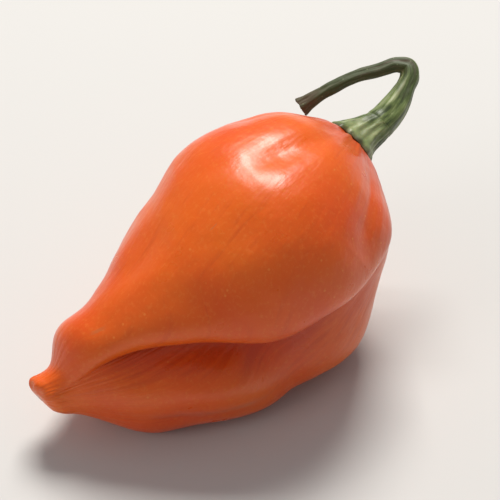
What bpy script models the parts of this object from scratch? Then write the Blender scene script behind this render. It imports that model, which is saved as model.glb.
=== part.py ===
"""A habanero chilli pepper, as picked, lying on a flat surface: pod, calyx and stalk.

Metres, +Z up. The pepper rests on Z = 0 with the stalk towards +X and the front towards -Y.
The pod is three lobes round one axis, with a furrow between each two. It is modelled about its
own axis first, from the seat of the calyx to the blossom end, and then laid down on its lobes.
Angles round the axis start at the side that lies uppermost and go round by the front.
"""

import math

import bmesh
import bpy
import numpy as np
from mathutils import Matrix

MM = 0.001

# Pod
POD_LENGTH = 53.1 * MM
POD_RADIUS = 18.6 * MM
POD_RINGS = 46
POD_AROUND = 66
# The half outline from the seat of the calyx to the blossom end: shares of the pod's length
# along the axis, and shares of its radius away from it.
PROFILE = (
    (0.000, 0.00),
    (0.004, 0.20),
    (0.045, 0.43),
    (0.130, 0.75),
    (0.225, 0.90),
    (0.340, 1.00),
    (0.480, 0.97),
    (0.610, 0.86),
    (0.745, 0.69),
    (0.840, 0.50),
    (0.905, 0.33),
    (0.935, 0.25),
    (0.960, 0.20),
    (0.983, 0.17),
    (0.996, 0.11),
    (1.000, 0.00),
)
# How far the axis bows towards BOW_ANGLE, by share of the length.
BOW_ANGLE = 130
BOW = ((0.0, 0.0), (0.22, 1.0), (0.45, 1.8), (0.62, 1.4), (0.8, -0.8), (1.0, -5.7))
# Furrows: the angle of each one's line by share of the length, its depth in millimetres,
# the widths of its two sides in degrees, and how far the lobe before it rolls over it.
FURROWS = (
    (
        ((0.0, 112), (0.2, 95), (0.4, 74), (0.55, 60), (0.68, 33), (0.78, 20), (0.87, 26), (1.0, 50)),
        ((0.0, 0.3), (0.12, 1.6), (0.3, 5.6), (0.5, 8.6), (0.68, 8.6), (0.78, 7.2), (0.86, 4.0), (1.0, 0.4)),
        (7, 50),
        3.2,
    ),
    (
        ((0.0, 205), (0.3, 196), (0.6, 180), (0.85, 172), (1.0, 180)),
        ((0.0, 0.3), (0.15, 2.0), (0.45, 3.2), (0.7, 3.8), (0.88, 2.6), (1.0, 0.4)),
        (18, 20),
        0.0,
    ),
    (
        ((0.0, 300), (0.3, 284), (0.6, 272), (0.85, 268), (1.0, 285)),
        ((0.0, 0.3), (0.15, 2.8), (0.4, 5.4), (0.7, 5.2), (0.88, 3.0), (1.0, 0.4)),
        (12, 34),
        1.4,
    ),
)
ROLL_WIDTH = 18  # degrees, from a furrow back over the lobe that rolls over it
# Broad swellings and dents: share of the length, angle, reach along, reach round, height.
SWELLINGS = (
    (0.86, 335, 0.06, 34, 1.4),
    (0.895, 138, 0.06, 34, 4.4),
    (0.60, 128, 0.20, 20, 1.8),
    (0.34, 318, 0.12, 26, 0.6),
    (0.30, 20, 0.12, 20, 0.5),
    (0.13, 55, 0.08, 18, -0.6),
    (0.60, 350, 0.12, 16, -1.2),
    (0.28, 146, 0.16, 24, 2.6),
    (0.50, 235, 0.12, 22, 0.7),
    (0.46, 40, 0.10, 14, 0.7),
    (0.14, 100, 0.07, 24, 0.3),
    (0.76, 322, 0.09, 28, -2.0),
    (0.93, 318, 0.035, 50, -2.4),
    (0.30, 262, 0.10, 18, 0.8),
    (0.52, 308, 0.12, 20, 0.5),
    (0.66, 232, 0.10, 14, 0.8),
    (0.36, 152, 0.16, 30, 0.7),  # from here on, where the pod touches the surface
    (0.36, 212, 0.17, 36, 2.6),
    (0.62, 190, 0.16, 44, -2.0),
    (0.85, 152, 0.07, 26, 2.3),
    (0.85, 205, 0.07, 30, 2.2),
)
# Creases: share of the length and angle at each end, width and depth in millimetres.
CREASES = (
    ((0.02, 24), (0.30, 8), 1.8, 1.1),
    ((0.03, 62), (0.26, 68), 1.6, 0.9),
    ((0.02, 340), (0.22, 330), 1.8, 1.0),
    ((0.03, 262), (0.24, 250), 1.8, 0.9),
    ((0.03, 160), (0.24, 158), 1.8, 0.9),
    ((0.66, 350), (0.93, 8), 1.8, 1.3),
    ((0.40, 335), (0.70, 312), 3.0, 1.0),
    ((0.56, 122), (0.90, 104), 1.8, 1.2),
    ((0.64, 222), (0.93, 225), 2.0, 1.1),
    ((0.50, 18), (0.66, 352), 2.4, 0.8),
    ((0.26, 300), (0.52, 318), 2.6, 0.9),
    ((0.36, 262), (0.62, 248), 2.4, 0.8),
    ((0.62, 298), (0.84, 306), 1.8, 0.9),
)

# Calyx: a cap on the seat, with small teeth that run up into ribs, as far as the ring at
# which the stalk grew out of it.
CALYX_RINGS = 4  # across its underside
CALYX_AROUND = 40
CALYX_TEETH = 5
TOOTH = 0.6 * MM
RIB = 0.05  # share of the radius
SEAT_GAP = 0.32 * MM  # clear of the skin under it
# Its outside from the margin up, as (radius, height above the seat) in millimetres.
CALYX_PROFILE = (
    (3.8, 0.5), (3.7, 0.8), (3.3, 1.3), (2.85, 2.2), (2.5, 3.3), (2.3, 4.3), (2.2, 4.9), (1.2, 5.0)
)
CALYX_LEAN = ((0.0, 0.0), (1.3, 0.0), (3.5, -0.6), (5.0, -1.0))  # (height, outwards at HOOK_ANGLE)

# Stalk: it leaves the calyx along the pod's axis and hooks back over the shoulder.
# Its line, as (outwards at HOOK_ANGLE, sideways, height above the seat) in millimetres.
HOOK_ANGLE = 307
STALK_LINE = (
    (-1.0, 0.0, 5.35), (-1.0, 0.0, 7.3), (-0.6, 0.0, 9.5), (0.0, 0.0, 11.6), (0.6, -0.1, 13.1),
    (1.6, -0.3, 13.8), (2.7, -0.5, 13.2), (4.2, -1.3, 10.8), (5.6, -2.1, 8.6), (6.6, -2.8, 6.1),
    (7.5, -3.6, 3.4), (8.2, -4.6, 0.3),
)
# Its radius in millimetres by share of its length: thick below the bend, flared at the cut.
STALK_RADIUS = (
    (0.0, 2.1), (0.08, 2.0), (0.18, 1.7), (0.27, 1.3), (0.34, 1.3), (0.42, 1.07), (0.55, 0.92),
    (0.82, 0.90), (0.93, 1.0), (1.0, 1.3),
)
STALK_RIDGES = 5
RIDGE = 0.07  # share of the radius
STALK_RINGS = 46
STALK_AROUND = 15

# The pod lies on three swellings of its lobes, two at the shoulder and one by the tip, with its
# stalk raised by this much.
PITCH = math.radians(23.2)
CONTACT_DEPTH = 0.35 * MM  # how far each lobe flattens where it touches the surface

COLOURS = {
    "pod": ((0.75, 0.09, 0.01), 0.3),
    "calyx": ((0.14, 0.22, 0.05), 0.5),
    "stalk": ((0.13, 0.18, 0.05), 0.55),
}


def smooth_through(points, at):
    """A smooth curve through (position, value) points, read at each position in at."""
    x, y = np.array(points, float).T
    slope = np.gradient(y, x)
    i = np.clip(np.searchsorted(x, at) - 1, 0, len(x) - 2)
    step = x[i + 1] - x[i]
    t = np.clip((at - x[i]) / step, 0, 1)
    return (
        (2 * t**3 - 3 * t**2 + 1) * y[i]
        + (t**3 - 2 * t**2 + t) * step * slope[i]
        + (3 * t**2 - 2 * t**3) * y[i + 1]
        + (t**3 - t**2) * step * slope[i + 1]
    )


def profile_at(way):
    """(share of length, share of radius) at each share of the way along the outline."""
    points = np.array(PROFILE) * (POD_LENGTH, POD_RADIUS)
    reach = np.concatenate([[0], np.cumsum(np.linalg.norm(np.diff(points, axis=0), axis=1))])
    reach /= reach[-1]
    along, out = points.T
    return (
        smooth_through(np.column_stack([reach, along]), way) / POD_LENGTH,
        smooth_through(np.column_stack([reach, out]), way) / POD_RADIUS,
    )


def turned(angle, line):
    """The angle from a furrow's line, from -180 to 180 degrees."""
    return (angle - line + 180) % 360 - 180


def crease_at(share, angle, first, last, width):
    """How much of a crease's depth falls at each point: 1 on its line, fading to both sides."""
    run = np.array([(last[0] - first[0]) * POD_LENGTH, math.radians(last[1] - first[1]) * POD_RADIUS])
    along = (share - first[0]) * POD_LENGTH
    across = np.radians(turned(angle, first[1])) * POD_RADIUS
    part_way = np.clip((along * run[0] + across * run[1]) / (run @ run), 0, 1)
    off = np.hypot(along - part_way * run[0], across - part_way * run[1]) / (width * MM)
    return np.exp(1 - np.sqrt(1 + off**2)) * np.clip(np.sin(math.pi * part_way) + 0.25, 0, 1)


def pod_points(way, angle):
    """Points of the skin about the pod's own axes: +Z towards the stalk, +X uppermost, +Y
    the front. way runs from the seat at 0 to the tip at 1, and angle is in degrees."""
    share, out = profile_at(way)
    radius = out * POD_RADIUS
    around = np.zeros_like(radius)
    fade = np.clip(out, 0, 1) ** 0.8
    for line, depth, (before, after), roll in FURROWS:
        off = turned(angle, smooth_through(line, share))
        groove = np.where(
            off < 0,
            np.exp(1 - np.sqrt(1 + (off / before) ** 2)),
            1 / (1 + (off / after) ** 4),
        )
        radius = radius - groove * smooth_through(depth, share) * MM * fade
        edge = np.exp(-(((off + 0.7 * ROLL_WIDTH) / (0.6 * ROLL_WIDTH)) ** 2))
        around = around + edge * roll * MM * fade * smooth_through(depth, share) / 5
    for at, centre, reach, spread, height in SWELLINGS:
        bump = np.exp(-(((share - at) / reach) ** 2) - (turned(angle, centre) / spread) ** 2)
        radius = radius + bump * height * MM * fade
    for first, last, width, depth in CREASES:
        radius = radius - crease_at(share, angle, first, last, width) * depth * MM * fade
    t = np.radians(angle)
    bow = smooth_through(BOW, share) * MM
    b = math.radians(BOW_ANGLE)
    return np.stack(
        [
            radius * np.cos(t) - around * np.sin(t) + bow * math.cos(b),
            radius * np.sin(t) + around * np.cos(t) + bow * math.sin(b),
            -share * POD_LENGTH,
        ],
        axis=-1,
    )


def in_pod_frame(angle, out, height):
    """A point at that angle and distance from the pod's axis, and that height above the seat."""
    t = np.radians(angle)
    return np.stack([out * np.cos(t), out * np.sin(t), height], axis=-1)


def hook_point(out, sideways, height):
    """A point in pod axes from millimetres outwards at HOOK_ANGLE, sideways and up."""
    t = math.radians(HOOK_ANGLE)
    return MM * np.stack(
        [
            out * math.cos(t) - sideways * math.sin(t),
            out * math.sin(t) + sideways * math.cos(t),
            height,
        ],
        axis=-1,
    )


def seat_height(radius, angle):
    """The height of the skin near the seat, at each distance from the axis and angle."""
    way = np.linspace(0, 0.2, 60)
    heights = np.empty_like(radius)
    for i, one in enumerate(angle):
        points = pod_points(way, np.full_like(way, one))
        heights[i] = np.interp(radius[i], np.hypot(points[:, 0], points[:, 1]), points[:, 2])
    return heights


def lobe_columns(share, count):
    """Angles round the axis at each share, in columns that run along the lobes, so that no
    furrow cuts across them. They lie closer together towards the furrows."""
    lines = [smooth_through(line, share) for line, *_ in FURROWS]
    lines.append(lines[0] + 360)
    t = np.arange(count) / count
    t = t - 0.5 * np.sin(2 * math.pi * t) / (2 * math.pi)
    return np.concatenate(
        [low[..., None] + t * (high - low)[..., None] for low, high in zip(lines, lines[1:])], axis=-1
    )


def pod_rings(rings, around):
    """Rings of points of the skin, and the points that close them at the seat and the tip."""
    way = np.linspace(0, 1, rings + 2)[:, None]
    angle = lobe_columns(profile_at(way[:, 0])[0], around // len(FURROWS))
    grid = pod_points(way + 0 * angle, angle)
    return grid[1:-1], grid[0, 0], grid[-1, 0]


def calyx_rings():
    angle = np.arange(CALYX_AROUND) * 360 / CALYX_AROUND
    tooth = TOOTH * np.clip(np.cos(np.radians(CALYX_TEETH * angle)), 0, 1) ** 3
    margin = CALYX_PROFILE[0][0] * MM + tooth
    below = [
        in_pod_frame(angle, margin * share, seat_height(margin * share, angle) + SEAT_GAP)
        for share in np.arange(1, CALYX_RINGS + 1) / CALYX_RINGS
    ]
    edge = seat_height(margin, angle)
    above = []
    rib = 1 + RIB * np.cos(np.radians(CALYX_TEETH * angle))
    for i, (radius, height) in enumerate(CALYX_PROFILE):
        share = 1 - i / (len(CALYX_PROFILE) - 1)
        lift = height * MM + edge * share
        ring = in_pod_frame(angle, radius * MM * rib + tooth * share**3, lift)
        above.append(ring + hook_point(smooth_through(CALYX_LEAN, height), 0, 0))
    top = hook_point(CALYX_LEAN[-1][1], 0, CALYX_PROFILE[-1][1])
    return np.array(below + above), np.array([0, 0, SEAT_GAP]), top


def swept(line, radius, around, ridge):
    """Rings of points round a line, carried along it without twist."""
    along = np.gradient(line, axis=0)
    along /= np.linalg.norm(along, axis=1)[:, None]
    side = np.cross(along[0], (0.0, 1.0, 0.0))
    t = np.arange(around) * 2 * math.pi / around
    swell = 1 + ridge * np.cos(STALK_RIDGES * t)
    rings = []
    for centre, forward, r in zip(line, along, radius):
        side = side - (side @ forward) * forward
        side /= np.linalg.norm(side)
        across = np.cross(forward, side)
        ring = np.outer(np.cos(t) * swell, side) + np.outer(np.sin(t) * swell, across)
        rings.append(centre + r * ring)
    return np.array(rings)


def stalk_rings():
    points = hook_point(*np.array(STALK_LINE).T)
    reach = np.concatenate([[0], np.cumsum(np.linalg.norm(np.diff(points, axis=0), axis=1))])
    share = np.linspace(0, 1, STALK_RINGS)
    at = share * reach[-1]
    line = np.stack(
        [smooth_through(np.column_stack([reach, column]), at) for column in points.T], axis=-1
    )
    radius = smooth_through(STALK_RADIUS, share) * MM
    return swept(line, radius, STALK_AROUND, RIDGE), line[0], line[-1]


def closed_tube(rings, start, end):
    """Faces and vertices of rings of points closed by a point at each end."""
    count, around = rings.shape[:2]
    verts = np.concatenate([rings.reshape(-1, 3), [start], [end]])
    faces = []
    for j in range(around):
        k = (j + 1) % around
        faces.append((count * around, k, j))
        faces.append((count * around + 1, (count - 1) * around + j, (count - 1) * around + k))
        faces += [
            (i * around + j, i * around + k, (i + 1) * around + k, (i + 1) * around + j)
            for i in range(count - 1)
        ]
    return verts, faces


def make_material(name):
    colour, roughness = COLOURS[name]
    material = bpy.data.materials.new(name)
    material.use_nodes = True
    surface = material.node_tree.nodes["Principled BSDF"]
    surface.inputs["Base Color"].default_value = (*colour, 1.0)
    surface.inputs["Roughness"].default_value = roughness
    surface.inputs["Metallic"].default_value = 0.0
    return material


def make_node(name, points, faces, pepper):
    """A named object from closed faces, smooth, with its own material, carried by pepper."""
    mesh = bpy.data.meshes.new(name)
    mesh.from_pydata([tuple(point) for point in points], [], faces)
    bm = bmesh.new()
    bm.from_mesh(mesh)
    bmesh.ops.recalc_face_normals(bm, faces=bm.faces)
    bm.to_mesh(mesh)
    bm.free()
    mesh.shade_smooth()
    mesh.materials.append(make_material(name))
    node = bpy.data.objects.new(name, mesh)
    bpy.context.scene.collection.objects.link(node)
    node.parent = pepper


def lying():
    """Turns the pod's axes into the pose in which it lies."""
    c, s = math.cos(PITCH), math.sin(PITCH)
    return np.array([[-s, 0, c], [0, -1, 0], [c, 0, s]])


def main():
    for thing in list(bpy.data.objects):
        bpy.data.objects.remove(thing)
    solids = {
        "pod": closed_tube(*pod_rings(POD_RINGS, POD_AROUND)),
        "calyx": closed_tube(*calyx_rings()),
        "stalk": closed_tube(*stalk_rings()),
    }
    turn = lying()
    up = turn[2]
    pod = solids["pod"][0]
    level = (pod @ up).min() + CONTACT_DEPTH
    pod += np.outer(np.maximum(level - pod @ up, 0), up)
    extent = np.concatenate([points for points, _ in solids.values()]) @ turn.T
    centre = (extent.min(axis=0) + extent.max(axis=0)) / 2
    pepper = bpy.data.objects.new("pepper", None)  # its origin is the seat of the calyx
    bpy.context.scene.collection.objects.link(pepper)
    pepper.matrix_world = Matrix.Translation((-centre[0], -centre[1], -level)) @ Matrix(turn).to_4x4()
    for name, (points, faces) in solids.items():
        make_node(name, points, faces, pepper)


main()
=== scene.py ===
"""The looks of a habanero chilli pepper: skin, calyx and stalk over their CAD solids, and a studio.

Every shape is made about the pod's own axes, as the CAD solids are, and then laid down in the
same pose: +Z runs along the pod to the stalk, +X is the side that lies uppermost and +Y is the
front. Angles round the axis are in degrees, from the uppermost side round by the front.
"""
import math

import bmesh
import bpy
import numpy as np
from mathutils import Matrix, Vector, noise

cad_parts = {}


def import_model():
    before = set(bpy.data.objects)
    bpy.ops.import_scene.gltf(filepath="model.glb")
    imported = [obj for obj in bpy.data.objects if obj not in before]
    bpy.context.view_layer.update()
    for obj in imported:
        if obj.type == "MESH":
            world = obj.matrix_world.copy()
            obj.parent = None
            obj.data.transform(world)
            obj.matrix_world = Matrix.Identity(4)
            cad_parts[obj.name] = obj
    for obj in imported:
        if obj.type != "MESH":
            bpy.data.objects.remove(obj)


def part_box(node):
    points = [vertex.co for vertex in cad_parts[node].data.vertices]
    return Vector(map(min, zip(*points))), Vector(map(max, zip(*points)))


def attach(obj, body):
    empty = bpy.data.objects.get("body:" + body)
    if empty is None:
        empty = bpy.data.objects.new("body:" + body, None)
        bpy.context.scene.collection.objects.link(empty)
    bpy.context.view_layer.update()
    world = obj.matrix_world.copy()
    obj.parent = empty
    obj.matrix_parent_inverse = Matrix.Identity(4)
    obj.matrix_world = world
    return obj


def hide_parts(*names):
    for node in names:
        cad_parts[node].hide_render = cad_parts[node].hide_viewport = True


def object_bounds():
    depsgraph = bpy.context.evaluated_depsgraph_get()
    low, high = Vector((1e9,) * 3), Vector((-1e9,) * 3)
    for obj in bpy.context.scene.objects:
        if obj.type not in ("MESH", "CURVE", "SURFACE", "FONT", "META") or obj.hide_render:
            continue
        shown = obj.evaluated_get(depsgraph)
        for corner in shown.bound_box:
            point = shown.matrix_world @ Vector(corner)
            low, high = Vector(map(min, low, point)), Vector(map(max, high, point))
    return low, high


MM = 0.001

# Pod
POD_LENGTH = 53.1 * MM
POD_RADIUS = 18.6 * MM
SKIN_RINGS = 330
SKIN_AROUND = 282
# The half outline from the seat of the calyx to the blossom end: shares of the pod's length
# along the axis, and shares of its radius away from it.
PROFILE = (
    (0.000, 0.00),
    (0.004, 0.20),
    (0.045, 0.43),
    (0.130, 0.75),
    (0.225, 0.90),
    (0.340, 1.00),
    (0.480, 0.97),
    (0.610, 0.86),
    (0.745, 0.69),
    (0.840, 0.50),
    (0.905, 0.33),
    (0.935, 0.25),
    (0.960, 0.20),
    (0.983, 0.17),
    (0.996, 0.11),
    (1.000, 0.00),
)
# How far the axis bows towards BOW_ANGLE, by share of the length.
BOW_ANGLE = 130
BOW = ((0.0, 0.0), (0.22, 1.0), (0.45, 1.8), (0.62, 1.4), (0.8, -0.8), (1.0, -5.7))
# Furrows: the angle of each one's line by share of the length, its depth in millimetres,
# the widths of its two sides in degrees, and how far the lobe before it rolls over it.
FURROWS = (
    (
        ((0.0, 112), (0.2, 95), (0.4, 74), (0.55, 60), (0.68, 33), (0.78, 20), (0.87, 26), (1.0, 50)),
        (
            (0.0, 0.3), (0.12, 1.6), (0.3, 5.6), (0.5, 8.6),
            (0.68, 8.6), (0.78, 7.2), (0.86, 4.0), (1.0, 0.4),
        ),
        (7, 50),
        3.2,
    ),
    (
        ((0.0, 205), (0.3, 196), (0.6, 180), (0.85, 172), (1.0, 180)),
        ((0.0, 0.3), (0.15, 2.0), (0.45, 3.2), (0.7, 3.8), (0.88, 2.6), (1.0, 0.4)),
        (18, 20),
        0.0,
    ),
    (
        ((0.0, 300), (0.3, 284), (0.6, 272), (0.85, 268), (1.0, 285)),
        ((0.0, 0.3), (0.15, 2.8), (0.4, 5.4), (0.7, 5.2), (0.88, 3.0), (1.0, 0.4)),
        (12, 34),
        1.4,
    ),
)
ROLL_WIDTH = 18  # degrees, from a furrow back over the lobe that rolls over it
# Broad swellings and dents: share of the length, angle, reach along, reach round, height.
SWELLINGS = (
    (0.86, 335, 0.06, 34, 1.4),
    (0.895, 138, 0.06, 34, 4.4),
    (0.60, 128, 0.20, 20, 1.8),
    (0.34, 318, 0.12, 26, 0.6),
    (0.30, 20, 0.12, 20, 0.5),
    (0.13, 55, 0.08, 18, -0.6),
    (0.60, 350, 0.12, 16, -1.2),
    (0.28, 146, 0.16, 24, 2.6),
    (0.50, 235, 0.12, 22, 0.7),
    (0.46, 40, 0.10, 14, 0.7),
    (0.14, 100, 0.07, 24, 0.3),
    (0.76, 322, 0.09, 28, -2.0),
    (0.93, 318, 0.035, 50, -2.4),
    (0.30, 262, 0.10, 18, 0.8),
    (0.52, 308, 0.12, 20, 0.5),
    (0.66, 232, 0.10, 14, 0.8),
    (0.36, 152, 0.16, 30, 0.7),  # from here on, where the pod touches the surface
    (0.36, 212, 0.17, 36, 2.6),
    (0.62, 190, 0.16, 44, -2.0),
    (0.85, 152, 0.07, 26, 2.3),
    (0.85, 205, 0.07, 30, 2.2),
)
# Creases: share of the length and angle at each end, width and depth in millimetres.
CREASES = (
    ((0.02, 24), (0.30, 8), 1.8, 1.1),
    ((0.03, 62), (0.26, 68), 1.6, 0.9),
    ((0.02, 340), (0.22, 330), 1.8, 1.0),
    ((0.03, 262), (0.24, 250), 1.8, 0.9),
    ((0.03, 160), (0.24, 158), 1.8, 0.9),
    ((0.66, 350), (0.93, 8), 1.8, 1.3),
    ((0.40, 335), (0.70, 312), 3.0, 1.0),
    ((0.56, 122), (0.90, 104), 1.8, 1.2),
    ((0.64, 222), (0.93, 225), 2.0, 1.1),
    ((0.50, 18), (0.66, 352), 2.4, 0.8),
    ((0.26, 300), (0.52, 318), 2.6, 0.9),
    ((0.36, 262), (0.62, 248), 2.4, 0.8),
    ((0.62, 298), (0.84, 306), 1.8, 0.9),
)

# Calyx: a cap on the seat, with small teeth that run up into ribs, as far as the ring at
# which the stalk grew out of it.
CALYX_FINE_RINGS = 60
CALYX_FINE_AROUND = 160
CALYX_TEETH = 5
TOOTH = 0.6 * MM
RIB = 0.05  # share of the radius
FINE_GAP = 0.06 * MM
# Its outside from the margin up, as (radius, height above the seat) in millimetres.
CALYX_PROFILE = (
    (3.8, 0.5), (3.7, 0.8), (3.3, 1.3), (2.85, 2.2), (2.5, 3.3), (2.3, 4.3), (2.2, 4.9), (1.2, 5.0)
)
CALYX_LEAN = ((0.0, 0.0), (1.3, 0.0), (3.5, -0.6), (5.0, -1.0))  # (height, outwards at HOOK_ANGLE)

# Stalk: it leaves the calyx along the pod's axis and hooks back over the shoulder.
# Its line, as (outwards at HOOK_ANGLE, sideways, height above the seat) in millimetres.
HOOK_ANGLE = 307
STALK_LINE = (
    (-1.0, 0.0, 5.35), (-1.0, 0.0, 7.3), (-0.6, 0.0, 9.5), (0.0, 0.0, 11.6), (0.6, -0.1, 13.1),
    (1.6, -0.3, 13.8), (2.7, -0.5, 13.2), (4.2, -1.3, 10.8), (5.6, -2.1, 8.6), (6.6, -2.8, 6.1),
    (7.5, -3.6, 3.4), (8.2, -4.6, 0.3),
)
# Its radius in millimetres by share of its length: thick below the bend, flared at the cut.
STALK_RADIUS = (
    (0.0, 2.1), (0.08, 2.0), (0.18, 1.7), (0.27, 1.3), (0.34, 1.3), (0.42, 1.07), (0.55, 0.92),
    (0.82, 0.90), (0.93, 1.0), (1.0, 1.3),
)
STALK_RIDGES = 5
RIDGE = 0.07  # share of the radius
STALK_FINE_RINGS = 300
STALK_FINE_AROUND = 60

# The pod lies on three swellings of its lobes, two at the shoulder and one by the tip, with its
# stalk raised by this much.
PITCH = math.radians(23.2)
CONTACT_DEPTH = 0.35 * MM  # how far each lobe flattens where it touches the surface

# Fine relief of the skin, in millimetres
LUMPS = ((9.0, 0.22), (3.6, 0.07))  # (size, height)
WRINKLE_SIZE = 1.1  # across
WRINKLE_STRETCH = 6  # how many times longer a wrinkle is along the lobes
WRINKLE_HEIGHT = 0.11
PUCKERS = 13  # folds round the seat of the calyx
PUCKER_HEIGHT = 0.13
TIP_FOLDS = 7
TIP_FOLD_HEIGHT = 0.14
TIP_SCAR = 0.75  # radius
FURROW_FULL_DEPTH = 8  # depth at which a furrow's mask is full, where the skin is at its reddest and darkest: partly its own deeper red, partly painted shade

# Finer shape of the calyx and the stalk, in millimetres
THIN_MARGIN = 0.25  # how much thinner the calyx's margin is than its solid's
FINE_RIB = 0.025  # share of the radius, of the fine ribs between the calyx's ribs
NOTCHES = 17  # round the calyx's ragged margin
NOTCH = 0.05
CALYX_LUMP = (0.9, 0.05)  # (size, height)
# The calyx's top, in place of the last two points of CALYX_PROFILE: it runs on into the stalk.
CALYX_SHOULDER = ((2.2, 4.75), (2.16, 5.0), (1.8, 5.05))
STALK_ROOT = 0.6  # how far the stalk runs down into the calyx
COLLAR = 0.1  # how far it swells where it grew out
STALK_GRAIN = 1.8  # radius at which the streaks of calyx and stalk are laid out
STALK_LUMP = (1.6, 0.08)  # (size, height), as the next two are
STALK_FIBRE = (0.55, 0.06)
CUT_WRINKLE = (0.3, 0.12)
# Rings across its cut end, as (share of its radius, depth).
CUT_END = ((0.96, -0.06), (0.8, 0.05), (0.6, 0.16), (0.35, 0.12), (0.1, 0.1))

# Colours, linear red, green and blue
ORANGE = (0.83, 0.140, 0.008)
ORANGE_RED = (0.74, 0.080, 0.006)
DEEP_RED = (0.50, 0.038, 0.008)
PALE_FLECK = (0.90, 0.33, 0.07)
CORK = (0.36, 0.19, 0.08)
LEAF_GREEN = (0.16, 0.215, 0.065)
PALE_GREEN = (0.36, 0.40, 0.19)
DULL_GREEN = (0.050, 0.075, 0.022)
GREY_GREEN = (0.115, 0.110, 0.062)
DRY_BROWN = (0.085, 0.055, 0.026)
WOOD = (0.30, 0.22, 0.11)
FRESH_STREAKS = ((0.42, DULL_GREEN), (0.53, LEAF_GREEN), (0.66, PALE_GREEN))
OLD_STREAKS = ((0.34, DRY_BROWN), (0.48, DULL_GREEN), (0.66, GREY_GREEN))

# Studio
CAMERA_AZIMUTH = -42  # degrees, 0 looks along +Y
CAMERA_ELEVATION = 41
CAMERA_DISTANCE = 0.205
LENS = 112  # mm, on a 36 mm sensor
FLOOR_COLOUR = (0.63, 0.62, 0.60)
FLOOR_ROUGHNESS = 0.7
FLOOR_REACH = 1.5  # metres from its middle to its edges
# Soft lights: name, place from the pepper's centre, (width, depth), watts, colour, and whether
# it shows in what is glossy.
LIGHTS = (
    ("key", (0.34, 0.34, 0.82), (0.44, 0.36), 10.8, (1.0, 0.97, 0.93), True),
    ("side", (-0.70, 0.10, 0.40), (0.30, 0.40), 0.9, (1.0, 0.98, 0.96), False),
)
SKY_COLOUR = (0.95, 0.97, 1.0)
SKY_STRENGTH = 0.28


def smooth_through(points, at):
    """A smooth curve through (position, value) points, read at each position in at."""
    x, y = np.array(points, float).T
    slope = np.gradient(y, x)
    i = np.clip(np.searchsorted(x, at) - 1, 0, len(x) - 2)
    step = x[i + 1] - x[i]
    t = np.clip((at - x[i]) / step, 0, 1)
    return (
        (2 * t**3 - 3 * t**2 + 1) * y[i]
        + (t**3 - 2 * t**2 + t) * step * slope[i]
        + (3 * t**2 - 2 * t**3) * y[i + 1]
        + (t**3 - t**2) * step * slope[i + 1]
    )


def lengths_along(points):
    """How far along a line of points each of them lies, from 0 at the first."""
    steps = np.linalg.norm(np.diff(points, axis=0), axis=1)
    return np.concatenate([[0], np.cumsum(steps)])


def profile_at(way):
    """(share of length, share of radius) at each share of the way along the outline."""
    points = np.array(PROFILE) * (POD_LENGTH, POD_RADIUS)
    reach = lengths_along(points)
    reach /= reach[-1]
    along, out = points.T
    return (
        smooth_through(np.column_stack([reach, along]), way) / POD_LENGTH,
        smooth_through(np.column_stack([reach, out]), way) / POD_RADIUS,
    )


def turned(angle, line):
    """The angle from a furrow's line, from -180 to 180 degrees."""
    return (angle - line + 180) % 360 - 180


def crease_at(share, angle, first, last, width):
    """How much of a crease's depth falls at each point: 1 on its line, fading to both sides."""
    run = np.array([(last[0] - first[0]) * POD_LENGTH, math.radians(last[1] - first[1]) * POD_RADIUS])
    along = (share - first[0]) * POD_LENGTH
    across = np.radians(turned(angle, first[1])) * POD_RADIUS
    part_way = np.clip((along * run[0] + across * run[1]) / (run @ run), 0, 1)
    off = np.hypot(along - part_way * run[0], across - part_way * run[1]) / (width * MM)
    return np.exp(1 - np.sqrt(1 + off**2)) * np.clip(np.sin(math.pi * part_way) + 0.25, 0, 1)


def furrow_at(share, angle, furrow):
    """How far a furrow draws the skin in, and how far the lobe before it rolls over it."""
    line, depths, (before, after), roll = furrow
    off = turned(angle, smooth_through(line, share))
    depth = smooth_through(depths, share)
    groove = np.where(
        off < 0,
        np.exp(1 - np.sqrt(1 + (off / before) ** 2)),
        1 / (1 + (off / after) ** 4),
    )
    edge = np.exp(-(((off + 0.7 * ROLL_WIDTH) / (0.6 * ROLL_WIDTH)) ** 2))
    return groove * depth * MM, edge * roll * depth / 5 * MM


def pod_points(way, angle):
    """Points of the skin about the pod's own axes: +Z towards the stalk, +X uppermost, +Y
    the front. way runs from the seat at 0 to the tip at 1, and angle is in degrees."""
    share, out = profile_at(way)
    radius = out * POD_RADIUS
    around = np.zeros_like(radius)
    fade = np.clip(out, 0, 1) ** 0.8
    for furrow in FURROWS:
        inwards, over = furrow_at(share, angle, furrow)
        radius = radius - inwards * fade
        around = around + over * fade
    for at, centre, reach, spread, height in SWELLINGS:
        bump = np.exp(-(((share - at) / reach) ** 2) - (turned(angle, centre) / spread) ** 2)
        radius = radius + bump * height * MM * fade
    for first, last, width, depth in CREASES:
        radius = radius - crease_at(share, angle, first, last, width) * depth * MM * fade
    t = np.radians(angle)
    bow = smooth_through(BOW, share) * MM
    b = math.radians(BOW_ANGLE)
    return np.stack(
        [
            radius * np.cos(t) - around * np.sin(t) + bow * math.cos(b),
            radius * np.sin(t) + around * np.cos(t) + bow * math.sin(b),
            -share * POD_LENGTH,
        ],
        axis=-1,
    )


def in_pod_frame(angle, out, height):
    """A point at that angle and distance from the pod's axis, and that height above the seat."""
    t = np.radians(angle)
    return np.stack([out * np.cos(t), out * np.sin(t), height], axis=-1)


def hook_point(out, sideways, height):
    """A point in pod axes from millimetres outwards at HOOK_ANGLE, sideways and up."""
    t = math.radians(HOOK_ANGLE)
    return MM * np.stack(
        [
            out * math.cos(t) - sideways * math.sin(t),
            out * math.sin(t) + sideways * math.cos(t),
            height,
        ],
        axis=-1,
    )


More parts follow.
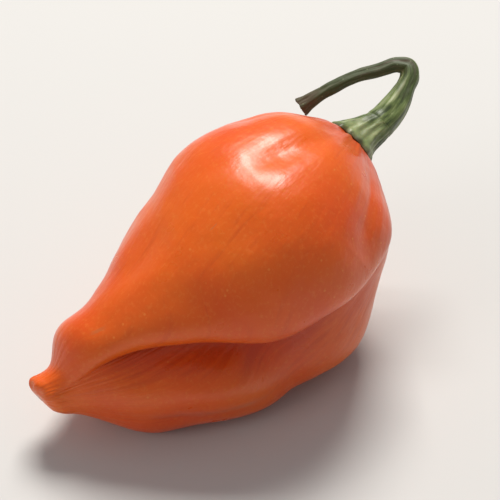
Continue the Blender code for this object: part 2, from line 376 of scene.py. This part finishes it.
def seat_height(radius, angle):
    """The height of the skin near the seat, at each distance from the axis and angle."""
    way = np.linspace(0, 0.2, 60)
    heights = np.empty_like(radius)
    for i, one in enumerate(angle):
        points = pod_points(way, np.full_like(way, one))
        heights[i] = np.interp(radius[i], np.hypot(points[:, 0], points[:, 1]), points[:, 2])
    return heights


def lobe_columns(share, count):
    """Angles round the axis at each share, in columns that run along the lobes, so that no
    furrow cuts across them. They lie closer together towards the furrows."""
    lines = [smooth_through(line, share) for line, *_ in FURROWS]
    lines.append(lines[0] + 360)
    t = np.arange(count) / count
    t = t - 0.5 * np.sin(2 * math.pi * t) / (2 * math.pi)
    return np.concatenate(
        [low[..., None] + t * (high - low)[..., None] for low, high in zip(lines, lines[1:])], axis=-1
    )


def swept(line, radius, around):
    """Rings of points round a line, carried along it without twist."""
    along = np.gradient(line, axis=0)
    along /= np.linalg.norm(along, axis=1)[:, None]
    side = np.cross(along[0], (0.0, 1.0, 0.0))
    t = np.arange(around) * 2 * math.pi / around
    rings = []
    for centre, forward, r in zip(line, along, radius):
        side = side - (side @ forward) * forward
        side /= np.linalg.norm(side)
        across = np.cross(forward, side)
        ring = np.outer(np.cos(t), side) + np.outer(np.sin(t), across)
        rings.append(centre + r * ring)
    return np.array(rings)


def closed_tube(rings, start, end):
    """Vertices and faces of rings of points closed by a point at each end."""
    count, around = rings.shape[:2]
    verts = np.concatenate([rings.reshape(-1, 3), [start], [end]])
    faces = []
    for j in range(around):
        k = (j + 1) % around
        faces.append((count * around, k, j))
        faces.append((count * around + 1, (count - 1) * around + j, (count - 1) * around + k))
        faces += [
            (i * around + j, i * around + k, (i + 1) * around + k, (i + 1) * around + j)
            for i in range(count - 1)
        ]
    return verts, faces


def noise_at(points, size, seed):
    """Smooth noise from about -1 to 1 at each point, with features of that size in metres."""
    shift = Vector((7.1, 3.3, 5.7)) * seed
    flat = points.reshape(-1, 3) / size
    return np.array([noise.noise(Vector(p) + shift) for p in flat]).reshape(points.shape[:-1])


def lumps_at(points, lump, seed):
    """Heights in millimetres of noise of that (size, height)."""
    size, height = lump
    return noise_at(points, size * MM, seed) * height


def pushed_out(grid, height):
    """Rings of points moved along the surface's normals."""
    along = np.gradient(grid, axis=0)
    around = np.roll(grid, -1, axis=1) - np.roll(grid, 1, axis=1)
    normal = np.cross(around, -along)
    normal /= np.linalg.norm(normal, axis=-1, keepdims=True) + 1e-12
    return grid + normal * height[..., None]


def grain_of(radius, angle, length):
    """Coordinates for streaks that run along a piece: across in the first two, along in the last."""
    t, length = np.broadcast_arrays(np.radians(angle), length)
    return np.stack([radius * np.cos(t), radius * np.sin(t), length], axis=-1)


def depth_in_furrows(share, angle):
    """0 on the lobes, and up to 1 in the deepest furrow."""
    depth = np.zeros_like(angle)
    for line, deep, (before, after), _ in FURROWS:
        off = turned(angle, smooth_through(line, share))
        side = np.where(off < 0, before, 0.9 * after)
        deepness = smooth_through(deep, share) / FURROW_FULL_DEPTH
        depth = depth + deepness * np.exp(-(np.abs(off / side) ** 3))
    return np.clip(depth, 0, 1)


def folds_at(share, angle):
    """Heights in millimetres of the puckers round the seat and the folds round the tip."""
    t = np.radians(angle)
    uneven = PUCKER_HEIGHT * (0.6 + 0.4 * np.sin(3 * t + 1))
    puckers = np.cos(PUCKERS * t + 1.3 * np.sin(2 * t)) * np.exp(-(((share - 0.035) / 0.035) ** 2))
    folds = np.cos(TIP_FOLDS * t + np.sin(t)) * np.exp(-(((1 - share) / 0.035) ** 2))
    return puckers * uneven + folds * TIP_FOLD_HEIGHT


def skin_relief(grid, share, angle, grain):
    """Heights of the soft lumps, the wrinkles along the lobes and the folds at both ends."""
    lumps = sum(lumps_at(grid, lump, 1) for lump in LUMPS)
    stretched = grain / (1, 1, WRINKLE_STRETCH)
    size = WRINKLE_SIZE * MM
    wrinkles = noise_at(stretched, size, 2) + 0.5 * noise_at(stretched, size / 2, 3)
    near_seat = np.exp(-((share / 0.16) ** 2))
    near_tip = np.exp(-(((1 - share) / 0.12) ** 2))
    where = 0.2 + 0.6 * near_seat + 0.6 * near_tip + 0.2 * depth_in_furrows(share, angle)
    height = lumps + wrinkles * WRINKLE_HEIGHT * where + folds_at(share, angle)
    ends = np.clip(np.minimum(share, 1 - share) / 0.006, 0, 1)
    return height * ends * MM


def skin_shape():
    """The pod's skin as rings of points and end points, with what its material reads."""
    way = np.linspace(0, 1, SKIN_RINGS + 2)[:, None]
    share = profile_at(way[:, 0])[0]
    angle = lobe_columns(share, SKIN_AROUND // len(FURROWS))
    share = share[:, None] + 0 * angle
    grid = pod_points(way + 0 * angle, angle)
    grain = grain_of(POD_RADIUS, angle, share * POD_LENGTH)
    grid = pushed_out(grid, skin_relief(grid, share, angle, grain))
    masks = {
        # how deep in a furrow each point lies: it sets the wrinkles there, and the deeper red that is
        # partly painted shade
        "furrow": depth_in_furrows(share, angle),
        "seat": np.exp(-((share / 0.07) ** 2)),
        "tip": np.exp(-((np.linalg.norm(grid - grid[-1, 0], axis=-1) / (TIP_SCAR * MM)) ** 2)),
    }
    return grid, grain, masks


def spaced_along(points, count):
    """Points evenly spaced along a smooth curve through the given ones, and its length."""
    reach = lengths_along(points)
    at = np.linspace(0, 1, count) * reach[-1]
    smooth = [smooth_through(np.column_stack([reach, column]), at) for column in points.T]
    return np.stack(smooth, axis=-1), reach[-1]


def calyx_teeth(angle):
    """How far the calyx's margin reaches past its circle: uneven teeth on a ragged edge."""
    t = np.radians(angle)
    teeth = TOOTH * np.clip(np.cos(CALYX_TEETH * t), 0, 1) ** 3
    return teeth * (1 + 0.25 * np.sin(2 * t + 1)) + NOTCH * MM * np.cos(NOTCHES * t)


def calyx_outside(angle, teeth):
    """Rings from the calyx's toothed margin up over its ribs to its smooth top."""
    t = np.radians(angle)
    rise = np.linspace(0, 1, CALYX_FINE_RINGS)[:, None]
    outline = np.array(CALYX_PROFILE[:-2] + CALYX_SHOULDER)
    outline[0, 1] -= THIN_MARGIN
    radius, height = spaced_along(outline, CALYX_FINE_RINGS)[0].T[..., None]
    ribs = RIB * np.cos(CALYX_TEETH * t) + FINE_RIB * np.cos(3 * CALYX_TEETH * t + 4 * rise)
    ribbed = np.minimum(np.minimum(rise * 3, (1 - rise) * 4), 1)
    out = radius * MM * (1 + ribs * ribbed) + teeth * (1 - rise) ** 3
    edge = seat_height(CALYX_PROFILE[0][0] * MM + teeth, angle)
    upright = in_pod_frame(angle, out, height * MM + edge * (1 - rise))
    lean = smooth_through(CALYX_LEAN, height)
    none = np.zeros_like(lean)
    return upright + hook_point(lean, none, none)


def calyx_shape():
    """The calyx as rings of points, from its underside on the skin out and up to its top."""
    angle = np.arange(CALYX_FINE_AROUND) * 360 / CALYX_FINE_AROUND
    teeth = calyx_teeth(angle)
    margin = CALYX_PROFILE[0][0] * MM + teeth
    below = [
        in_pod_frame(angle, margin * share, seat_height(margin * share, angle) + FINE_GAP)
        for share in np.linspace(0.1, 1, 8)
    ]
    above = calyx_outside(angle, teeth)
    middle = above[-1].mean(axis=0)
    top = [above[-1] * share + (1 - share) * middle for share in (0.7, 0.4, 0.1)]
    rings = np.concatenate([below, above, top])
    rise = np.concatenate([[0] * len(below), np.linspace(0, 1, CALYX_FINE_RINGS), [1] * len(top)])
    rise = rise[:, None] + 0 * angle
    grain = grain_of(STALK_GRAIN * MM, angle, (rise - 1) * 6 * MM)
    clear_of_margin = np.clip(rise * 8, 0, 1)
    height = lumps_at(rings, CALYX_LUMP, 4) * clear_of_margin * MM
    return pushed_out(rings, height), grain, {"rise": rise}


def stalk_relief(rings, grain, along, angle, dry):
    """Heights in millimetres of the stalk's lumps and ridges, and of wrinkles near its cut."""
    lumps = lumps_at(grain / (1, 1, 3), STALK_FIBRE, 5) + lumps_at(rings, STALK_LUMP, 6)
    ridges = RIDGE * smooth_through(STALK_RADIUS, along) * np.cos(STALK_RIDGES * np.radians(angle))
    wrinkles = lumps_at(grain / (1, 1, 4), CUT_WRINKLE, 7)
    clear_of_calyx = np.clip(along * 12, 0, 1)
    near_cut = np.clip((along - 0.9) / 0.1, 0, 1)
    return clear_of_calyx * (lumps + ridges * (1 - dry)) + near_cut * wrinkles


def stalk_shape():
    """The stalk as rings of points: thick to the bend, thin after it, with a dished dry cut."""
    points = hook_point(*np.array(STALK_LINE).T)
    points[0] -= (0, 0, STALK_ROOT * MM)
    line, length = spaced_along(points, STALK_FINE_RINGS)
    share = np.linspace(0, 1, STALK_FINE_RINGS)
    collar = COLLAR * np.exp(-(((share - 0.02) / 0.02) ** 2))
    rings = swept(line, (smooth_through(STALK_RADIUS, share) + collar) * MM, STALK_FINE_AROUND)
    back = (line[-2] - line[-1]) / np.linalg.norm(line[-2] - line[-1])
    end = rings[-1] - line[-1]
    cut = [line[-1] + end * size + back * deep * MM for size, deep in CUT_END]
    rings = np.concatenate([rings, cut])
    angle = np.arange(STALK_FINE_AROUND) * 360 / STALK_FINE_AROUND
    along = np.concatenate([share, [1] * len(cut)])[:, None] + 0 * angle
    dry = np.concatenate([0 * share, np.linspace(0.3, 1, len(cut))])[:, None] + 0 * angle
    grain = grain_of(STALK_GRAIN * MM, 180 + angle, along * length - STALK_ROOT * MM)
    height = stalk_relief(rings, grain, along, angle, dry) * MM
    return pushed_out(rings, height), grain, {"along": along, "cut": dry}


def store(mesh, name, kind, field, values):
    """Values kept on the points of a mesh, for its material to read."""
    stored = mesh.attributes.new(name, kind, "POINT")
    stored.data.foreach_set(field, values)


def make_piece(name, rings, grain, masks, pose):
    """A smooth closed piece from rings of points, with grain and masks stored on its points."""
    verts, faces = closed_tube(rings[1:-1], rings[0].mean(axis=0), rings[-1].mean(axis=0))
    mesh = bpy.data.meshes.new(name)
    mesh.from_pydata([tuple(v) for v in verts], [], faces)
    bm = bmesh.new()
    bm.from_mesh(mesh)
    bmesh.ops.recalc_face_normals(bm, faces=bm.faces)
    bm.to_mesh(mesh)
    bm.free()
    mesh.shade_smooth()
    ends = (grain[0, 0] * (0, 0, 1), grain[-1, 0] * (0, 0, 1))
    store(mesh, "grain", "FLOAT_VECTOR", "vector", np.concatenate([grain[1:-1], *ends], axis=None))
    for kind, values in masks.items():
        ends = (values[0, 0], values[-1, 0])
        store(mesh, kind, "FLOAT", "value", np.concatenate([values[1:-1], *ends], axis=None))
    mesh.transform(pose)
    piece = bpy.data.objects.new(name, mesh)
    bpy.context.scene.collection.objects.link(piece)
    return piece


def add(tree, kind, inputs, **settings):
    """A shader node with its settings, and inputs that are values or other nodes' outputs."""
    made = tree.nodes.new(kind)
    for name, value in settings.items():
        setattr(made, name, value)
    for key, value in inputs.items():
        if isinstance(value, bpy.types.NodeSocket):
            tree.links.new(value, made.inputs[key])
        else:
            made.inputs[key].default_value = value
    return made


def mask(tree, name):
    """A value stored on the points of the piece."""
    return add(tree, "ShaderNodeAttribute", {}, attribute_name=name).outputs["Fac"]


def body_place(tree):
    """Coordinates in metres in the piece."""
    return add(tree, "ShaderNodeTexCoord", {}).outputs["Object"]


def grain_place(tree, stretch):
    """Coordinates in metres along the grain, for features that many times longer along it."""
    grain = add(tree, "ShaderNodeAttribute", {}, attribute_name="grain").outputs["Vector"]
    return add(tree, "ShaderNodeMapping", {"Vector": grain, "Scale": (1, 1, 1 / stretch)}).outputs[0]


def noise_of(tree, where, size, detail=2.0, roughness=0.5):
    """Noise from 0 to 1 with features of that size in metres."""
    inputs = {"Vector": where, "Scale": 1 / size, "Detail": detail, "Roughness": roughness}
    return add(tree, "ShaderNodeTexNoise", inputs).outputs["Fac"]


def spots_of(tree, where, spacing, size, share):
    """1 inside small round spots, on that share of cells that far apart, and 0 outside."""
    cells = add(tree, "ShaderNodeTexVoronoi", {"Vector": where, "Scale": 1 / spacing})
    chosen = between(tree, cells.outputs["Color"], share, share - 0.05)
    inside = between(tree, cells.outputs["Distance"], size / spacing, 0.6 * size / spacing)
    return times(tree, chosen, inside)


def between(tree, value, low, high, to_low=0.0, to_high=1.0):
    """value carried smoothly from the range low to high to the range to_low to to_high."""
    inputs = {"Value": value, "From Min": low, "From Max": high, "To Min": to_low, "To Max": to_high}
    return add(tree, "ShaderNodeMapRange", inputs, interpolation_type="SMOOTHSTEP").outputs["Result"]


def times(tree, first, second):
    """One value times the other."""
    return add(tree, "ShaderNodeMath", {0: first, 1: second}, operation="MULTIPLY").outputs[0]


def plus(tree, first, second):
    """One value plus the other."""
    return add(tree, "ShaderNodeMath", {0: first, 1: second}, operation="ADD").outputs[0]


def ramp(tree, value, stops):
    """A colour from (position, colour) stops."""
    made = add(tree, "ShaderNodeValToRGB", {"Fac": value})
    elements = made.color_ramp.elements
    while len(elements) < len(stops):
        elements.new(1.0)
    for element, (position, colour) in zip(elements, stops):
        element.position = position
        element.color = (*colour, 1.0)
    return made.outputs["Color"]


def blend(tree, amount, under, over):
    """under with over laid on it by that amount. Each can be a value or another node's output."""
    made = add(tree, "ShaderNodeMix", {}, data_type="RGBA")
    for key, value in ((0, amount), (6, under), (7, over)):
        if isinstance(value, bpy.types.NodeSocket):
            tree.links.new(value, made.inputs[key])
        elif key == 0:
            made.inputs[key].default_value = value
        else:
            made.inputs[key].default_value = (*value, 1.0)
    return made.outputs[2]


def bumped(tree, steps):
    """Bumps on bumps: (height, its size in metres) from the broadest to the finest."""
    normal = None
    for height, size in steps:
        inputs = {"Height": height, "Distance": size, "Strength": 1.0}
        if normal is not None:
            inputs["Normal"] = normal
        normal = add(tree, "ShaderNodeBump", inputs).outputs["Normal"]
    return normal


def new_material(name):
    """A material, its node tree and its surface shader."""
    made = bpy.data.materials.new(name)
    made.use_nodes = True
    return made, made.node_tree, made.node_tree.nodes["Principled BSDF"]


def finish_surface(tree, surface, colour, roughness, normal, **plain):
    """Links what varies over the surface, and sets what is the same all over it."""
    tree.links.new(colour, surface.inputs["Base Color"])
    tree.links.new(roughness, surface.inputs["Roughness"])
    tree.links.new(normal, surface.inputs["Normal"])
    for name, value in plain.items():
        surface.inputs[name.replace("_", " ")].default_value = value


def skin_scuffs(tree, body):
    """1 in small corky scuffs, which run along the lobes in a few patches, and 0 elsewhere."""
    streaks = noise_of(tree, grain_place(tree, 4), 1.9 * MM, 5.0, 0.62)
    patches = between(tree, noise_of(tree, body, 8 * MM, 1.0), 0.56, 0.66)
    return times(tree, between(tree, streaks, 0.665, 0.70), patches)


def skin_colour(tree, body, grainy):
    """Orange, redder in patches, streaks and round the seat, with pale flecks; deeper red in the
    furrows, partly painted shade.
    """
    patches = noise_of(tree, body, 16 * MM, 2.5, 0.45)
    colour = ramp(tree, patches, ((0.34, ORANGE_RED), (0.66, ORANGE)))
    streaks = noise_of(tree, grain_place(tree, 7), 1.3 * MM, 4.0, 0.6)
    colour = blend(tree, between(tree, streaks, 0.56, 0.74, 0.0, 0.30), colour, ORANGE)
    colour = blend(tree, between(tree, streaks, 0.44, 0.26, 0.0, 0.22), colour, DEEP_RED)
    colour = blend(tree, between(tree, grainy, 0.50, 0.72, 0.0, 0.16), colour, PALE_FLECK)
    # Partly the skin's own deeper red and partly painted shade: darker red down in the furrows and
    # across their hollows.
    ragged = plus(tree, mask(tree, "furrow"), between(tree, streaks, 0.3, 0.7, -0.22, 0.22))
    colour = blend(tree, between(tree, ragged, 0.1, 1.0, 0.0, 0.68), colour, DEEP_RED)
    ringed = times(tree, mask(tree, "seat"), between(tree, streaks, 0.35, 0.65, 0.35, 0.8))
    colour = blend(tree, ringed, colour, DEEP_RED)
    flecks = spots_of(tree, body, 2.2 * MM, 0.2 * MM, 0.6)
    return blend(tree, times(tree, flecks, 0.35), colour, PALE_FLECK)


def skin_bumps(tree, body):
    """Soft unevenness, fine wrinkles along the lobes, and the finest grain."""
    soft = noise_of(tree, body, 2.2 * MM)
    wrinkles = noise_of(tree, grain_place(tree, 5), 0.7 * MM, 3.0, 0.55)
    finest = noise_of(tree, body, 0.22 * MM, 1.0)
    return bumped(tree, ((soft, 0.10 * MM), (wrinkles, 0.05 * MM), (finest, 0.006 * MM)))


def skin_material():
    """Waxy skin, with faint scuffs and a small dry scar at the tip that are duller than it."""
    made, tree, surface = new_material("pepper_skin")
    body = body_place(tree)
    grainy = noise_of(tree, body, 0.5 * MM, 3.0, 0.6)
    scuffs = skin_scuffs(tree, body)
    ragged_tip = plus(tree, mask(tree, "tip"), between(tree, grainy, 0, 1, -0.25, 0.25))
    scar = between(tree, ragged_tip, 0.35, 0.8)
    colour = blend(tree, times(tree, scuffs, 0.35), skin_colour(tree, body, grainy), CORK)
    colour = blend(tree, times(tree, scar, 0.85), colour, DRY_BROWN)
    wax = noise_of(tree, body, 5 * MM, 3.0, 0.55)
    roughness = between(tree, wax, 0.3, 0.7, 0.27, 0.40)
    roughness = plus(tree, roughness, times(tree, plus(tree, scuffs, scar), 0.3))
    finish_surface(
        tree,
        surface,
        colour,
        roughness,
        skin_bumps(tree, body),
        Subsurface_Weight=0.12,
        Subsurface_Radius=(1.0, 0.25, 0.08),
        Subsurface_Scale=2.0 * MM,
        Coat_Weight=0.14,
        Coat_Roughness=0.20,
        Specular_IOR_Level=0.4,
    )
    return made


def green_streaks(tree):
    """Noise in long streaks, which run on from the calyx into the stalk."""
    return noise_of(tree, grain_place(tree, 7), 0.8 * MM, 4.0, 0.6)


def calyx_material():
    """Streaked green, with paler patches low down, drying along its margin."""
    made, tree, surface = new_material("calyx_green")
    body = body_place(tree)
    streaks = green_streaks(tree)
    colour = ramp(tree, streaks, FRESH_STREAKS)
    rise = mask(tree, "rise")
    patches = between(tree, noise_of(tree, body, 3.5 * MM), 0.45, 0.65, 0.0, 0.6)
    colour = blend(tree, times(tree, patches, between(tree, rise, 1.0, 0.4)), colour, PALE_GREEN)
    grainy = noise_of(tree, body, 0.35 * MM, 3.0)
    margin = between(tree, plus(tree, rise, between(tree, grainy, 0, 1, -0.06, 0.06)), 0.11, 0.0)
    colour = blend(tree, times(tree, margin, 0.6), colour, DRY_BROWN)
    flecks = spots_of(tree, body, 1.1 * MM, 0.13 * MM, 0.5)
    colour = blend(tree, times(tree, flecks, 0.4), colour, PALE_GREEN)
    roughness = between(tree, streaks, 0.3, 0.7, 0.5, 0.38)
    normal = bumped(tree, ((streaks, 0.10 * MM), (grainy, 0.02 * MM)))
    finish_surface(
        tree, surface, colour, roughness, normal, Subsurface_Weight=0.08, Subsurface_Scale=1.0 * MM
    )
    return made


def stalk_material():
    """Green at the calyx, duller and browner towards the cut, which is dry wood."""
    made, tree, surface = new_material("stalk_green")
    body = body_place(tree)
    streaks = green_streaks(tree)
    uneven = between(tree, noise_of(tree, body, 4 * MM), 0, 1, -0.2, 0.2)
    ageing = plus(tree, mask(tree, "along"), uneven)
    fresh, old = ramp(tree, streaks, FRESH_STREAKS), ramp(tree, streaks, OLD_STREAKS)
    colour = blend(tree, between(tree, ageing, 0.14, 0.46), fresh, old)
    colour = blend(tree, between(tree, ageing, 0.88, 1.02, 0.0, 0.75), colour, DRY_BROWN)
    flecks = spots_of(tree, body, 0.9 * MM, 0.12 * MM, 0.5)
    colour = blend(tree, times(tree, flecks, 0.35), colour, PALE_GREEN)
    fibres = noise_of(tree, body, 0.22 * MM, 3.0)
    ragged_cut = plus(tree, mask(tree, "cut"), between(tree, fibres, 0, 1, -0.15, 0.15))
    wood = ramp(tree, fibres, ((0.35, DRY_BROWN), (0.65, WOOD)))
    colour = blend(tree, between(tree, ragged_cut, 0.3, 0.6), colour, wood)
    roughness = between(tree, ageing, 0.0, 0.8, 0.42, 0.66)
    normal = bumped(tree, ((streaks, 0.10 * MM), (fibres, 0.02 * MM)))
    finish_surface(tree, surface, colour, roughness, normal)
    return made


def lying():
    """Turns the pod's axes into the pose in which it lies."""
    c, s = math.cos(PITCH), math.sin(PITCH)
    return np.array([[-s, 0, c], [0, -1, 0], [c, 0, s]])


def pose_over(points):
    """The pose that lays the pod's skin over its CAD solid, and the flattened points."""
    turn = lying()
    up = turn[2]
    level = (points @ up).min() + CONTACT_DEPTH
    laid = points @ turn.T
    low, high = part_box("pod")
    flat = laid.reshape(-1, 3)
    centre = (flat.min(axis=0) + flat.max(axis=0)) / 2
    shift = Vector(((low.x + high.x) / 2 - centre[0], (low.y + high.y) / 2 - centre[1], -level))
    points = points + np.maximum(level - points @ up, 0)[..., None] * up
    return Matrix.Translation(shift) @ Matrix(turn).to_4x4(), points


def make_pepper():
    """The three pieces, laid down together, each in the place of its CAD solid."""
    skin, grain, masks = skin_shape()
    pose, skin = pose_over(skin)
    made = (
        ("pepper_skin", "pod", "skin", (skin, grain, masks), skin_material()),
        ("pepper_calyx", "calyx", "calyx_green", calyx_shape(), calyx_material()),
        ("pepper_stalk", "stalk", "stalk_green", stalk_shape(), stalk_material()),
    )
    for name, node, slot, shape, material in made:
        piece = make_piece(name, *shape, pose)
        piece.data.materials.append(material)
        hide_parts(node)
        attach(piece, "root")


def look_at(thing, target):
    """Turns a lamp or camera to face a point."""
    thing.rotation_mode = "QUATERNION"
    thing.rotation_quaternion = (target - thing.location).to_track_quat("-Z", "Y")


def soft_light(name, location, target, size, watts, colour, shines):
    """A rectangular lamp that faces the target, and shows in what is glossy if it shines."""
    light = bpy.data.lights.new(name, "AREA")
    light.shape = "RECTANGLE"
    light.size, light.size_y = size
    light.energy = watts
    light.color = colour
    lamp = bpy.data.objects.new(name, light)
    bpy.context.scene.collection.objects.link(lamp)
    lamp.location = location
    lamp.visible_glossy = shines
    look_at(lamp, target)


def make_floor():
    """A plain pale surface, far wider than the view."""
    bm = bmesh.new()
    bmesh.ops.create_grid(bm, x_segments=1, y_segments=1, size=FLOOR_REACH)
    mesh = bpy.data.meshes.new("floor")
    bm.to_mesh(mesh)
    bm.free()
    material, _, surface = new_material("floor")
    surface.inputs["Base Color"].default_value = (*FLOOR_COLOUR, 1.0)
    surface.inputs["Roughness"].default_value = FLOOR_ROUGHNESS
    mesh.materials.append(material)
    floor = bpy.data.objects.new("floor", mesh)
    bpy.context.scene.collection.objects.link(floor)


def make_studio(centre):
    """A pale floor, a soft light over the pepper and a little behind it, and a weak pale sky."""
    make_floor()
    for name, offset, size, watts, colour, shines in LIGHTS:
        soft_light(name, centre + Vector(offset), centre, size, watts, colour, shines)
    world = bpy.data.worlds.new("sky")
    world.use_nodes = True
    background = world.node_tree.nodes["Background"]
    background.inputs["Color"].default_value = (*SKY_COLOUR, 1.0)
    background.inputs["Strength"].default_value = SKY_STRENGTH
    bpy.context.scene.world = world
    bpy.context.scene.view_settings.view_transform = "Standard"


def make_camera(centre):
    """A camera that looks at the pepper from CAMERA_AZIMUTH and CAMERA_ELEVATION."""
    camera = bpy.data.objects.new("camera", bpy.data.cameras.new("camera"))
    bpy.context.scene.collection.objects.link(camera)
    camera.data.lens = LENS
    camera.data.clip_start = 0.01
    azimuth, elevation = math.radians(CAMERA_AZIMUTH), math.radians(CAMERA_ELEVATION)
    away = Vector((math.sin(azimuth), -math.cos(azimuth), math.tan(elevation))).normalized()
    camera.location = centre + away * CAMERA_DISTANCE
    look_at(camera, centre)
    bpy.context.scene.camera = camera


def main():
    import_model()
    solid_low, solid_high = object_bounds()
    centre = (solid_low + solid_high) / 2
    make_pepper()
    make_studio(centre)
    make_camera(centre)


main()
